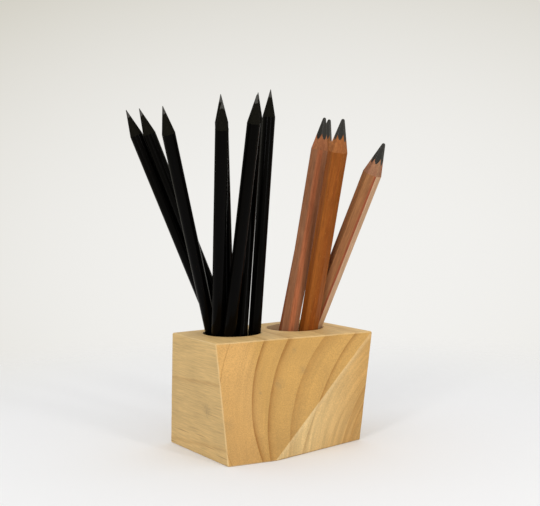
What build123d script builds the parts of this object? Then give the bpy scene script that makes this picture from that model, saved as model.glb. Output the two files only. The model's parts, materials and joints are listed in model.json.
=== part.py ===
from build123d import *
import os
from dataclasses import dataclass
from math import cos, pi, radians, sin, sqrt

# A pen holder cut from one block of pale wood, with two blind bores side by side. Eight thin
# black pencils stand in the left bore and four thick cedar pencils in the right one. Each
# pencil is built as it is made: two grooved slats glued round a lead.
#
# The block stands on its base at z = 0 with its length along X and its faceted front
# towards -Y. The origin is the middle of the base.

# The block. Depths run from the top edge of the back towards the front.
block_length = 94.5
block_height = 65.0
top_depth_left = 49.7
top_depth_right = 64.1
back_edge_y = 29.0
# How far each face of the block is out of square.
back_lean = 6.3
left_end_lean = 1.1
right_end_skew = 1.2
front_lean = 9.6
# The second front facet: where its ridge meets the base, and how far it cuts in on the right.
ridge_foot = 28.4
undercut = 11.8
edge_radius = 0.8

# The two bores, from the middle of the block's length and from the back edge of the top.
bore_diameter = 33.0
bore_depth = 36.0
left_bore_x = -19.2
left_bore_from_back = 19.9
right_bore_x = 21.0
right_bore_from_back = 24.0
rim_radius = 0.4
drill_mark_diameter = 3.0
drill_mark_depth = 1.2

# The black pencils: round, with a turned cone and a thin lead.
black_diameter = 7.2
black_length = 172.5
black_cone = 15.0
black_lead_diameter = 2.2
black_tip_radius = 0.22
black_end_radius = 0.3

# The cedar pencils: six flats, cut to a six-sided point, with a thick lead.
cedar_across_flats = 9.54
cedar_length = 158.5
cedar_worn_length = 153.0
cedar_cone = 18.5
cedar_lead_diameter = 6.0
cedar_tip_width = 1.5
cedar_corner_radius = 0.45
cedar_tip_radius = 0.3
# From the middle of a cedar pencil's flat to the corner beside it, in degrees.
corner_turn = 30.0

# Gaps: between a pencil and whatever it leans on, under its foot, and past the mouth when lifted.
side_clearance = 0.15
foot_clearance = 0.2
lift_past_rim = 6.0

bore_radius = bore_diameter / 2
bore_floor = block_height - bore_depth
cedar_across_corners = cedar_across_flats / cos(radians(corner_turn))
# Below this length a vector has no direction worth using.
no_length = 1e-6


@dataclass
class Stand:
    """How one pencil stands: where its foot is and where it passes the rim.

    Bearings are degrees round the bore's axis, counted from +X. An out of 0 is on the axis, and
    at 1 the pencil's axis is half its width from the wall. Face is the bearing that one flat of
    a cedar pencil looks to, and the slats of any pencil meet at corner_turn on from it, where a
    cedar pencil has a corner.
    """

    name: str
    foot_bearing: float
    foot_out: float
    rim_bearing: float
    rim_out: float
    face: float = -120.0
    length: float = 0.0


black_stands = [
    Stand("black_pencil_1", 38, 1.03, 105, 1.00),
    Stand("black_pencil_2", 5, 1.04, 88, 0.43),
    Stand("black_pencil_3", 82, 1.03, 152, 0.91),
    Stand("black_pencil_4", 125, 0.81, 196, 0.92),
    Stand("black_pencil_5", 76, 0.45, 210, 0.34),
    Stand("black_pencil_6", 180, 0.55, 232, 0.99),
    Stand("black_pencil_7", 252, 0.70, 284, 0.57),
    Stand("black_pencil_8", -29, 0.78, -37, 1.00),
]
cedar_stands = [
    Stand("cedar_pencil_1", 177.9, 1.01, 214.2, 0.64, face=-93, length=cedar_length),
    Stand("cedar_pencil_2", 126, 1.07, 100.2, 0.47, face=-116, length=cedar_length),
    Stand("cedar_pencil_3", -71.3, 0.21, -77.8, 1.08, face=-124, length=cedar_length),
    Stand("cedar_pencil_4", 76.1, 1.04, -20.7, 1.06, face=-125, length=cedar_worn_length),
]


def block_blank():
    """The block before drilling: a squared blank with each leaning face sawn off it."""
    left = -block_length / 2
    right = block_length / 2
    front_left_y = back_edge_y - top_depth_left
    front_right_y = back_edge_y - top_depth_right
    top = block_height
    back_left_top = Vector(left, back_edge_y, top)
    back_right_top = Vector(right - right_end_skew, back_edge_y, top)
    front_left_top = Vector(left, front_left_y, top)
    front_right_top = Vector(right, front_right_y, top)
    back_left_base = Vector(left + left_end_lean, back_edge_y + back_lean, 0)
    front_left_base = Vector(left + left_end_lean, front_left_y - front_lean, 0)
    front_edge = (front_right_top - front_left_top).normalized()
    ridge_base = front_left_base + front_edge * ridge_foot
    right_end_line = (back_right_top - front_right_top).normalized()
    front_right_base = Vector(right, front_right_y, 0) + right_end_line * undercut

    reach = 2 * max(block_length, block_height, top_depth_right)
    blank = Box(reach, reach, top, align=(Align.CENTER, Align.CENTER, Align.MIN))
    faces = [
        (back_left_top, back_right_top, back_left_base),
        (back_left_top, front_left_top, front_left_base),
        (front_left_top, front_right_top, front_left_base),
        (front_right_top, back_right_top, front_right_base),
        (front_right_top, ridge_base, front_right_base),
    ]
    middle = Vector(0, 0, top / 2)
    for a, b, c in faces:
        normal = (b - a).cross(c - a).normalized()
        if normal.dot(middle - a) > 0:
            normal = normal * -1
        blank = split(blank, bisect_by=Plane(origin=a, z_dir=normal), keep=Keep.BOTTOM)
    return fillet(blank.edges(), edge_radius)


def bore_axis(bore_x, from_back):
    """The point on a bore's axis at the level of the top face."""
    return Vector(bore_x, back_edge_y - from_back, block_height)


def drilled_block():
    """The block with its two flat-bottomed bores, each with the mark of the drill's point."""
    block = block_blank()
    from_top = (Align.CENTER, Align.CENTER, Align.MAX)
    for mouth in (left_mouth, right_mouth):
        hole = Cylinder(bore_radius, bore_depth, align=from_top)
        mark = Cone(0, drill_mark_diameter / 2, drill_mark_depth, align=from_top)
        block = block - Pos(mouth) * hole
        block = block - Pos(mouth.X, mouth.Y, bore_floor) * mark
    top = block.faces().sort_by(Axis.Z)[-1]
    rims = [edge for wire in top.inner_wires() for edge in wire.edges()]
    return fillet(rims, rim_radius)


class Standing:
    """One pencil in its bore: an axis from a point on the floor to a point in the mouth."""

    def __init__(self, stand, flats, width):
        self.stand = stand
        self.flats = flats
        self.half = width / 2
        free = bore_radius - self.half - side_clearance
        foot = radians(stand.foot_bearing)
        rim = radians(stand.rim_bearing)
        self.foot = Vector(cos(foot), sin(foot), 0) * (stand.foot_out * free)
        self.rim = Vector(cos(rim), sin(rim), 0) * (stand.rim_out * free)
        self.length = stand.length or black_length

    @property
    def run(self):
        """From the floor to the mouth along the axis."""
        return self.rim - self.foot + Vector(0, 0, bore_depth)

    @property
    def axis(self):
        """The pencil's direction, from its foot to its point."""
        return self.run.normalized()

    @property
    def travel(self):
        """How far along its axis the pencil rises until its foot is past the rim."""
        return bore_depth / self.axis.Z + lift_past_rim

    def point(self, share):
        """The point on the axis at a share of the bore's depth above its floor."""
        return self.foot + self.run * share

    @property
    def outward(self):
        """The way that one flat looks: its bearing, tilted until it is square to the axis."""
        face = radians(self.stand.face)
        level = Vector(cos(face), sin(face), 0)
        return (level - self.axis * level.dot(self.axis)).normalized()

    def corners(self):
        """The section's corners about the axis, or nothing for a round pencil."""
        if not self.flats:
            return []
        outward = self.outward
        across = self.axis.cross(outward)
        step = 2 * pi / self.flats
        turns = [(k + 0.5) * step for k in range(self.flats)]
        return [(outward * cos(t) + across * sin(t)) * self.half for t in turns]

    def reach(self, direction):
        """How far the section reaches from the axis in a direction."""
        if not self.flats:
            return self.half
        return max(corner.dot(direction) for corner in self.corners())

    def foot_lift(self):
        """How far the middle of the foot is above the floor when its lowest edge is just clear."""
        slope = sqrt(1 - self.axis.Z**2)
        if self.flats:
            return foot_clearance - min(corner.Z for corner in self.corners())
        return foot_clearance + self.half * slope

    def foot_centre(self):
        """The middle of the pencil's foot, from the point where the bore's axis meets the floor."""
        return self.point(self.foot_lift() / bore_depth)


def overhang(standing, at_rim):
    """How far a pencil's section passes the free circle of its bore, and which way.

    At the foot the section is the pencil's end, and at the rim it is a level cut through it.
    """
    centre = standing.point(1) if at_rim else standing.foot_centre()
    level = Vector(centre.X, centre.Y, 0)
    limit = bore_radius - side_clearance
    if standing.flats:
        worst = 0.0
        way = Vector(0, 0, 0)
        for corner in standing.corners():
            edge = level + corner
            if at_rim:
                edge = edge - standing.axis * (corner.Z / standing.axis.Z)
            edge = Vector(edge.X, edge.Y, 0)
            if edge.length - limit > worst:
                worst = edge.length - limit
                way = edge.normalized()
        return worst, way
    if level.length < no_length:
        return 0.0, level
    way = level.normalized()
    stretch = 1.0
    if at_rim:
        lean = Vector(standing.axis.X, standing.axis.Y, 0)
        along = way.dot(lean) / max(lean.length, no_length)
        stretch = 1 + (1 / standing.axis.Z - 1) * along**2
    return level.length + standing.half * stretch - limit, way


def crowding(one, two):
    """How much two pencils lack of their clearance, the way apart, and where they are nearest.

    Each axis is taken as far up as its pencil goes when it is lifted out, so that a pencil
    that is drawn out passes all the others.
    """
    a = one.run
    b = two.run
    top_a = (one.length + one.travel) / a.length
    top_b = (two.length + two.travel) / b.length
    apart = one.foot - two.foot
    aa = a.dot(a)
    ab = a.dot(b)
    bb = b.dot(b)
    bottom = max(aa * bb - ab * ab, no_length)
    s = min(max((ab * b.dot(apart) - bb * a.dot(apart)) / bottom, 0), top_a)
    for _ in range(4):
        t = min(max((ab * s + b.dot(apart)) / bb, 0), top_b)
        s = min(max((ab * t - a.dot(apart)) / aa, 0), top_a)
    between = one.point(s) - two.point(t)
    way = between.normalized()
    wanted = one.reach(way * -1) + two.reach(way) + side_clearance
    return wanted - between.length, way, s, t


def settle(group, rounds=1500, close_enough=0.002, least_level=0.1):
    """Moves the pencils of a bore apart, little by little, until each has its clearance.

    Each pencil starts from its stand, and its foot and its rim point move only as far as its
    neighbours and the bore's wall push them. Where the way apart is nearly upright, its level
    part counts as least_level, so that one push stays small.
    """
    for _ in range(rounds):
        worst = 0.0
        for i, one in enumerate(group):
            for two in group[i + 1:]:
                lack, way, s, t = crowding(one, two)
                worst = max(worst, lack)
                if lack <= 0:
                    continue
                level = Vector(way.X, way.Y, 0)
                share = (1 - s) ** 2 + s**2 + (1 - t) ** 2 + t**2
                push = level * (lack / (share * max(level.dot(level), least_level)))
                one.foot = one.foot + push * (1 - s)
                one.rim = one.rim + push * s
                two.foot = two.foot - push * (1 - t)
                two.rim = two.rim - push * t
        for standing in group:
            over, way = overhang(standing, at_rim=False)
            worst = max(worst, over)
            if over > 0:
                standing.foot = standing.foot - way * over
            over, way = overhang(standing, at_rim=True)
            worst = max(worst, over)
            if over > 0:
                standing.rim = standing.rim - way * over
        if worst < close_enough:
            break
    return group


def place(standing, mouth):
    """The position of a pencil that was made upright with its foot's middle at the origin."""
    foot = Vector(mouth.X, mouth.Y, bore_floor) + standing.foot_centre()
    return Plane(origin=foot, x_dir=standing.outward, z_dir=standing.axis).location


def black_form():
    """The outside of a black pencil: a round barrel turned down to a cone with a blunt tip."""
    half = black_diameter / 2
    slope = half / black_cone
    length = black_length
    # The tip is a small ball that the cone's sides run into.
    tilt = sqrt(1 + slope**2)
    ball_z = length - black_tip_radius
    side_z = ball_z + black_tip_radius * slope / tilt
    side_x = black_tip_radius / tilt
    shoulder_z = side_z - (half - side_x) / slope
    with BuildPart() as form:
        with BuildSketch(Plane.XZ):
            with BuildLine():
                Line((0, 0), (half - black_end_radius, 0))
                RadiusArc((half - black_end_radius, 0), (half, black_end_radius), -black_end_radius)
                Line((half, black_end_radius), (half, shoulder_z))
                Line((half, shoulder_z), (side_x, side_z))
                RadiusArc((side_x, side_z), (0, length), -black_tip_radius)
                Line((0, length), (0, 0))
            make_face()
        revolve(axis=Axis.Z)
    return form.part


def cedar_form(length):
    """The outside of a cedar pencil: a six-sided barrel cut to a six-sided blunt point."""
    shoulder_z = length - cedar_cone
    section = RegularPolygon(cedar_across_flats / 2, 6, major_radius=False, rotation=corner_turn)
    barrel = extrude(section, shoulder_z)
    barrel = fillet(barrel.edges().filter_by(Axis.Z), cedar_corner_radius)
    summit = RegularPolygon(cedar_tip_width / 2, 6, major_radius=False, rotation=corner_turn)
    point = loft([Pos(0, 0, shoulder_z) * section, Pos(0, 0, length) * summit])
    point = fillet(point.edges().group_by(Axis.Z)[-1], cedar_tip_radius)
    return barrel + point


def slats_and_lead(form, lead_diameter, length):
    """Parts a pencil into its two slats and its lead, along a plane through two corners."""
    core = Cylinder(lead_diameter / 2, 3 * length)
    lead = form & core
    wood = form - core
    to_right = Vector(0, 1, 0).rotate(Axis.Z, corner_turn)
    glue_line = Plane(origin=(0, 0, 0), z_dir=to_right)
    right = split(wood, bisect_by=glue_line, keep=Keep.TOP)
    left = split(wood, bisect_by=glue_line, keep=Keep.BOTTOM)
    return {"left_slat": left, "right_slat": right, "lead": lead}


left_mouth = bore_axis(left_bore_x, left_bore_from_back)
right_mouth = bore_axis(right_bore_x, right_bore_from_back)
black_group = settle([Standing(stand, 0, black_diameter) for stand in black_stands])
cedar_group = settle([Standing(stand, 6, cedar_across_corners) for stand in cedar_stands])


def main():
    os.makedirs("parts", exist_ok=True)
    export_step(drilled_block(), "parts/block.step")
    black_pieces = slats_and_lead(black_form(), black_lead_diameter, black_length)
    for standing in black_group:
        for piece, solid in black_pieces.items():
            export_step(place(standing, left_mouth) * solid, f"parts/{standing.stand.name}_{piece}.step")
    for standing in cedar_group:
        pieces = slats_and_lead(cedar_form(standing.length), cedar_lead_diameter, standing.length)
        for piece, solid in pieces.items():
            export_step(place(standing, right_mouth) * solid, f"parts/{standing.stand.name}_{piece}.step")


main()
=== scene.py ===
"""A wooden pencil stand as it looks: one faceted block with two bores, eight black pencils
and four cedar pencils. Lengths are in millimetres unless a name says otherwise, and every
mesh is made in metres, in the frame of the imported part.
"""

from __future__ import annotations

import itertools
import json
import logging
import math
from dataclasses import dataclass
from enum import Enum

import bmesh
import bpy
from mathutils import Matrix, Vector, noise


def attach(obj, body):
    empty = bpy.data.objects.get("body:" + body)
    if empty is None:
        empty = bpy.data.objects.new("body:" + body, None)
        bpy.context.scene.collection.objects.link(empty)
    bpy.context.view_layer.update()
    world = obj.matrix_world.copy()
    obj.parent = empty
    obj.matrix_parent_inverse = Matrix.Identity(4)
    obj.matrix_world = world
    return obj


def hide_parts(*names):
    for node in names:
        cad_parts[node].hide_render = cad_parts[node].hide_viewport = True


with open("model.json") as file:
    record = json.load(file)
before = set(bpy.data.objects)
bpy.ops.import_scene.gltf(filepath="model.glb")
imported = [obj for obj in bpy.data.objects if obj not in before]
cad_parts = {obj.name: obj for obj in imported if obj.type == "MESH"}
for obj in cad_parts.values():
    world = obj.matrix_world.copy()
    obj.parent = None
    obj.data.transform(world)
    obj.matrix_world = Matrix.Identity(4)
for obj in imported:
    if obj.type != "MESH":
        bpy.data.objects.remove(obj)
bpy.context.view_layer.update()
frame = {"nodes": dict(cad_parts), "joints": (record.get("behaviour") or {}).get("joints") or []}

MM = 0.001
LOG = logging.getLogger("pencil_stand")
OWN_PLACE = "own_place"
# Degrees between the middles of two of six flats, and from such a middle to a corner.
FLAT_TURN = 60
CORNER_TURN = FLAT_TURN / 2
Socket = bpy.types.NodeSocket
Point = tuple[float, float, float]
Plane = tuple[Vector, float]
Pair = tuple[float, float]
Span = tuple[float, float, float, float]


def linear(hex_code: str) -> tuple[float, float, float, float]:
    """Turns an sRGB colour into the linear one that a shader takes.

    Args:
        hex_code: The colour as six hex digits with a leading hash sign.

    Returns:
        Red, green, blue and an alpha of 1, linear.
    """
    channels = []
    for start in (1, 3, 5):
        value = int(hex_code[start:start + 2], 16) / 255
        channels.append(value / 12.92 if value <= 0.04045 else ((value + 0.055) / 1.055) ** 2.4)
    return (channels[0], channels[1], channels[2], 1.0)


class Nodes:
    """The node tree of a material or of the room, emptied and built up again.

    A MapRange takes the value, the range it comes from and the range it goes to, in that order.
    A Mix of colours takes the share as input 0 and the colours as inputs 6 and 7, and gives
    its result as output 2.
    """

    def open(self, owner: bpy.types.Material | bpy.types.World) -> None:
        """Takes up the tree of a material or a world and empties it.

        Args:
            owner: The material or the world.
        """
        owner.use_nodes = True
        self.tree = owner.node_tree
        self.tree.nodes.clear()

    def add(
        self, kind: str, inputs: dict | tuple = (), take: str | int = 0, **settings: object
    ) -> Socket | None:
        """Adds one node with its settings and its links.

        Args:
            kind: The node's type name after the word ShaderNode.
            inputs: For each input, in order or by its name or number, a value, a hex colour or
                the socket that feeds it.
            take: The output that is wanted, by name or number.
            **settings: Properties of the node itself.

        Returns:
            That output, or nothing where the node has none.
        """
        node = self.tree.nodes.new(f"ShaderNode{kind}")
        for name, value in settings.items():
            setattr(node, name, value)
        pairs = inputs.items() if isinstance(inputs, dict) else enumerate(inputs)
        for place, value in pairs:
            if isinstance(value, Socket):
                self.tree.links.new(value, node.inputs[place])
            else:
                plain = linear(value) if isinstance(value, str) else value
                node.inputs[place].default_value = plain
        return node.outputs[take] if node.outputs else None

    def fold(self, operation: str, values: list[Socket]) -> Socket:
        """Joins masks into one by the same sum, such as a product or a maximum.

        Args:
            operation: The sum's name.
            values: The masks.

        Returns:
            The one mask.
        """
        total = values[0]
        for value in values[1:]:
            total = self.add("Math", (total, value), operation=operation)
        return total

    def straight_rays(self) -> Socket:
        """Marks the rays that show a thing itself: straight on, in a gloss or through glass.

        Returns:
            1 for these rays and 0 for others.
        """
        rays = self.add("LightPath").node.outputs
        kinds = ("Is Camera Ray", "Is Glossy Ray", "Is Transmission Ray")
        return self.fold("MAXIMUM", [rays[kind] for kind in kinds])


class Finish(Nodes):
    """One of the stand's finishes. Its patterns lie in its piece's own frame.

    Attributes:
        name: What the material is called.
        place: The shaded point in that frame, in millimetres.
        roughness: How rough the coat is.
        spread: How far that falls and rises with the finish's pattern, if it does.
        bumps: How strongly the pattern's bumps tilt the surface and how deep they are.
        ior: The coat's index of refraction.
        sheen: How strongly the coat reflects.
        metallic: How like a metal it reflects.
    """

    name: str
    place: Socket
    roughness: float
    spread: tuple[float, ...] = ()
    bumps: Pair
    ior: float
    sheen: float = 0.5
    metallic: float = 0.0

    def build(self) -> bpy.types.Material:
        """Makes the material.

        Returns:
            The material.
        """
        material = bpy.data.materials.new(self.name)
        self.open(material)
        self.place = self.add("Attribute", take="Vector", attribute_name=OWN_PLACE)
        self.dress()
        return material

    def dress(self) -> None:
        """Fills the material, which each finish does in its own way."""
        raise NotImplementedError

    def grain(self, place: Socket, size: Point, detail: float = 3.0, roughness: float = 0.6) -> Socket:
        """Draws an even, stretched noise, such as wood's fibres.

        Args:
            place: The point in millimetres.
            size: How large one blot is along each axis.
            detail: How many finer noises are laid over it.
            roughness: How strong those are.

        Returns:
            The noise, from 0 to 1.
        """
        scaled = self.add("VectorMath", (place, size), operation="DIVIDE")
        inputs = {"Vector": scaled, "Scale": 1.0, "Detail": detail, "Roughness": roughness}
        return self.add("TexNoise", inputs)

    def surface(self, colour: Socket, pattern: Socket) -> None:
        """Ends the material with a coat whose gloss and small bumps follow a pattern.

        Args:
            colour: The coat's colour.
            pattern: The pattern, from 0 to 1.
        """
        gloss = self.roughness
        if self.spread:
            ends = [self.roughness + change for change in self.spread]
            gloss = self.add("MapRange", (pattern, 0.0, 1.0, *ends))
        tilt, depth = self.bumps
        bump = self.add("Bump", {"Height": pattern, "Strength": tilt, "Distance": depth * MM})
        looks = {"Base Color": colour, "Metallic": self.metallic, "Roughness": gloss}
        looks |= {"IOR": self.ior, "Specular IOR Level": self.sheen, "Normal": bump}
        self.add("OutputMaterial", (self.add("BsdfPrincipled", looks),))


def link_object(name: str, data: bpy.types.ID) -> bpy.types.Object:
    """Makes an object and puts it into the scene.

    Args:
        name: The object's name.
        data: Its mesh, lamp or camera.

    Returns:
        The object.
    """
    made = bpy.data.objects.new(name, data)
    bpy.context.scene.collection.objects.link(made)
    return made


def new_piece(
    name: str, mesh: bpy.types.Mesh, place: Matrix, body: str, nodes: list[str]
) -> bpy.types.Object:
    """Adds a mesh to the scene as a piece of the stand, laid in the part's frame.

    Its points keep their places in the piece's own frame, for the grain, in the attribute
    own_place.

    Args:
        name: The piece's name.
        mesh: Its mesh, in its own frame.
        place: Where that frame lies in the part's frame.
        body: The body that it rides on.
        nodes: The nodes that it stands for.

    Returns:
        The new object.
    """
    own_place = mesh.attributes.new(OWN_PLACE, "FLOAT_VECTOR", "POINT")
    for vertex in mesh.vertices:
        own_place.data[vertex.index].vector = vertex.co / MM
    mesh.transform(place)
    piece = link_object(name, mesh)
    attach(piece, body)
    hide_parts(*nodes)
    return piece


@dataclass(frozen=True)
class GrowthRing:
    """One dark line of late wood, an arc in the block's upright section along its length.

    Attributes:
        left: Where the arc reaches furthest left.
        height: How high above the base that point is.
        radius: The arc's radius.
        strength: How dark the line is, from 0 to 1.
        fade: How far the darkening reaches on the pith's side.
    """

    left: float
    height: float
    radius: float
    strength: float
    fade: float


@dataclass(frozen=True)
class Smudge:
    """A grey finger or graphite mark on the block's outside.

    Attributes:
        place: Its middle.
        radius: How far it reaches.
        strength: How dark it is, from 0 to 1.
    """

    place: Point
    radius: float
    strength: float


GROWTH_RINGS = (
    GrowthRing(-48.5, 27.4, 80.0, 0.60, 0.9),
    GrowthRing(-29.8, 24.5, 81.7, 1.00, 6.0),
    GrowthRing(-21.9, 7.8, 104.2, 0.95, 5.0),
    GrowthRing(-21.6, 7.7, 101.4, 0.85, 7.0),
    GrowthRing(-9.7, -0.1, 90.3, 0.65, 11.0),
    GrowthRing(-2.0, -26.1, 126.2, 0.95, 5.0),
    GrowthRing(10.5, -43.0, 112.8, 0.35, 4.0),
    GrowthRing(30.5, -16.8, 87.4, 0.95, 9.0),
    GrowthRing(35.6, -16.2, 76.8, 1.00, 8.0),
)


@dataclass
class SandedPaulownia(Finish):
    """Paulownia, sawn from a plank with wide rings, sanded by hand and thinly oiled.

    To the eye that is a pale straw wood with a thin dark line where each year ends, warmer
    where it is cut across the fibres, with brown vessel lines along them and hardly any gloss.
    The vessels are drawn coarser than the real ones, which are too fine to show.

    Attributes:
        block: The block, for its bores and smudges.
        first_facet: The larger front facet's outward normal and distance.
        second_facet: The same of the undercut one.
        inner_years: Between which places along the block the end grain turns to its inner colour.
        front: The depth at which the rings are measured.
        downward_run: How much the plank's axis drops for each unit of depth.
        pith: Where the fine rings' middle lies in the section, far outside the block.
        pith_shift: How far wind has pushed them to one side, as a share of their radius.
        ring_edge: Over which distance a ring's line rises on the bark's side.
        ring_falloff: How fast it falls on the pith's side, as a power.
        cut_run: Between which places along the block the undercut facet darkens.
        ridge_strip: How far below the ridge the pale strip starts and ends, polished by sanding and with a
            painted highlight.
        end_turn: From which to which cosine a face turns into end grain.
        fresh_turn: The same for the undercut facet.
        top_turn: The same for the top.
        fibre_shade: From which to which noise and share the fibres darken and pale the wood.
        streak_gain: How strong the streaks are, elsewhere and on the undercut facet.
        painted_low_shade: From which to which height, and by which share, end grain darkens.
        rings_along: How well the lines show where the fibres aren't cut across.
        rings_on_fresh: How well they show on the undercut facet.
        vessels_across: How well the vessels show where the fibres are cut across.
        bore_edge: How far outside a bore's wall its colour starts to end and ends.
        section: The point on the plank's cross-section, once the material is being filled.
        end: Where the fibres are cut across.
        fresh: Where the undercut facet is.
    """

    block: WoodBlock
    first_facet: Plane
    second_facet: Plane
    name: str = "sanded_paulownia"
    early_wood: str = "#CFAD73"
    end_grain: str = "#D1A25F"
    inner_end_grain: str = "#C99B54"
    inner_years: Pair = (-30.5, -22.0)
    late_wood: str = "#94601F"
    fresh_cut: str = "#EAC789"
    inner_fresh_cut: str = "#CFA15D"
    cut_run: Pair = (4.0, 42.0)
    # Painted light: the bores' walls are coloured far paler than the wood, standing in for light that hardly
    # reaches into them.
    painted_light_torn_bore_wall: str = "#EFD09A"
    painted_light_bore_wall: str = "#FFE9BC"
    vessel: str = "#6A4418"
    # Partly real wear and partly painted highlight: the pale colour of the rounded edges and of the strip
    # beside the ridge.
    worn_and_highlit_edge: str = "#E9CE9C"
    graphite_grey: str = "#7E6C4C"
    roughness: float = 0.55
    spread: Pair = (-0.06, 0.12)
    bumps: Pair = (0.2, 0.1)
    ior: float = 1.45
    sheen: float = 0.3
    front: float = -30.0
    downward_run: float = 0.075
    pith: Pair = (145.6, -67.0)
    pith_shift: Pair = (-0.9, 0.9)
    ring_edge: Pair = (-0.4, 0.05)
    ring_falloff: float = 3.2
    ring_wander: float = 0.9
    ring_wander_size: float = 26.0
    ring_patch: float = 9.0
    ridge_strip: Pair = (-1.4, -0.1)
    # Painted light: the top's colour is made this much paler, standing in for the light that the top lacks.
    painted_top_light: float = 1.29
    streak_size: Point = (1.1, 60.0, 40.0)
    vessel_size: Point = (1.9, 42.0, 1.9)
    fibre_size: Point = (0.6, 14.0, 0.6)
    torn_size: Point = (2.0, 2.0, 0.4)
    cloud_size: float = 22.0
    smudge_grain: float = 1.3
    end_turn: Pair = (0.45, 0.85)
    fresh_turn: Pair = (0.93, 0.985)
    top_turn: Pair = (0.6, 0.95)
    fibre_shade: Span = (0.3, 0.65, 0.78, 1.08)
    streak_gain: Pair = (0.30, 0.80)
    cloud_shade: Span = (0.3, 0.7, 0.92, 1.04)
    # Painted shade: end grain is darkened towards the base, where less light falls.
    painted_low_shade: Span = (50.0, 5.0, 0.0, 0.12)
    ring_patches: Span = (0.3, 0.7, 0.6, 0.95)
    rings_along: float = 0.55
    rings_on_fresh: float = 0.55
    # Partly sanding's polish, partly painted highlight: how pale the strip beside the ridge gets.
    ridge_highlight_paleness: float = 0.25
    vessel_edge: Span = (0.05, 0.21, 1.0, 0.0)
    vessel_chance: Span = (0.35, 0.9, 0.0, 0.95)
    vessels_across: float = 0.12
    bore_edge: Pair = (0.05, 0.3)
    torn_share: Pair = (0.35, 0.6)
    smudge_edge: Pair = (0.35, 0.65)

    def dress(self) -> None:
        """Fills the material: plain wood, rings, vessels, bores, smudges, worn edges and painted light and
        shade.
        """
        self.section = self._section()
        self.end = self._turned_towards((0, -1, 0), self.end_turn)
        self.fresh = self._turned_towards(self.second_facet[0], self.fresh_turn)
        up = self._turned_towards((0, 0, 1), self.top_turn)
        fibres = self.grain(self.place, self.fibre_size, 3.0, 0.7)
        tone = self._early_wood()
        # Partly sanding's polish, partly painted highlight: a pale strip beside the ridge.
        polished = self._ridge_polish_and_highlight()
        rings = self._rings()
        for mask, colour in ((polished, self.worn_and_highlit_edge), (rings, self.late_wood)):
            tone = self.add("Mix", {0: mask, 6: tone, 7: colour}, 2, data_type="RGBA")
        shade = self.add("MapRange", (fibres, *self.fibre_shade))
        # Painted light: the top is made paler than the same wood elsewhere.
        paler = self.add("MapRange", (up, 0.0, 1.0, 1.0, self.painted_top_light))
        for factor in (shade, paler):
            tone = self.add("VectorMath", (tone, factor), operation="MULTIPLY")
        vessels = self._vessels()
        tone = self.add("Mix", {0: vessels, 6: tone, 7: self.vessel}, 2, data_type="RGBA")
        tone = self._bored(tone)
        smudges = self._smudges()
        # Partly wear, partly painted highlight: the rounded edges are made paler.
        wear = self.add("Attribute", take="Fac", attribute_name="edge_wear_and_highlight")
        for mask, colour in ((smudges, self.graphite_grey), (wear, self.worn_and_highlit_edge)):
            tone = self.add("Mix", {0: mask, 6: tone, 7: colour}, 2, data_type="RGBA")
        self.surface(tone, fibres)

    def _section(self) -> Socket:
        """Lays a point on the plank's cross-section, whose axis runs almost along the depth.

        Returns:
            The point's place along the block and above its base, with no depth.
        """
        from_front = self.add("VectorMath", (self.place, (0, self.front, 0)), operation="SUBTRACT")
        inputs = {"Vector": self.place, "Scale": 1 / self.ring_wander_size, "Detail": 3.0}
        wander = self.add("TexNoise", inputs, "Color")
        shift = self.add("VectorMath", (wander, (0.5,) * 3), operation="SUBTRACT")
        reach = (self.ring_wander,) * 3
        moved = self.add("VectorMath", (shift, reach, from_front), operation="MULTIPLY_ADD")
        along = self.add("SeparateXYZ", (moved,), "X")
        drop = (0, self.downward_run, 1)
        above = self.add("VectorMath", (moved, drop), "Value", operation="DOT_PRODUCT")
        return self.add("CombineXYZ", (along, 0.0, above))

    def _turned_towards(self, way: Vector | Point, turn: Pair) -> Socket:
        """Finds the faces that look one way.

        Args:
            way: The way.
            turn: The cosines at which the mask starts and is whole.

        Returns:
            0 on other faces and 1 on these.
        """
        normal = self.add("TexCoord", take="Normal")
        facing = self.add("VectorMath", (normal, way), "Value", operation="DOT_PRODUCT")
        return self.add("MapRange", (facing, *turn), interpolation_type="SMOOTHSTEP")

    def _rings(self) -> Socket:
        """Draws the late-wood lines, sharp on the bark's side and fading towards the pith.

        Returns:
            How much late wood there is.
        """
        lines = []
        for ring in GROWTH_RINGS:
            centre = (ring.left + ring.radius, 0, ring.height)
            out = self.add("VectorMath", (self.section, centre), "Value", operation="DISTANCE")
            inside = self.add("Math", (ring.radius, out), operation="SUBTRACT")
            span = (inside, *self.ring_edge, 0.0, ring.strength)
            rise = self.add("MapRange", span, interpolation_type="SMOOTHSTEP")
            fall = self.add("MapRange", (inside, 0.0, ring.fade, 1.0, 0.0))
            fall = self.add("Math", (fall, self.ring_falloff), operation="POWER")
            lines.append(self.add("Math", (rise, fall), operation="MULTIPLY"))
        patchy = self.grain(self.place, (self.ring_patch,) * 3)
        strength = self.add("MapRange", (patchy, *self.ring_patches))
        seen = self.add("MapRange", (self.end, 0.0, 1.0, self.rings_along, 1.0))
        faint = self.add("MapRange", (self.fresh, 0.0, 1.0, 1.0, self.rings_on_fresh))
        return self.fold("MULTIPLY", [self.fold("MAXIMUM", lines), strength, seen, faint])

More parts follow.
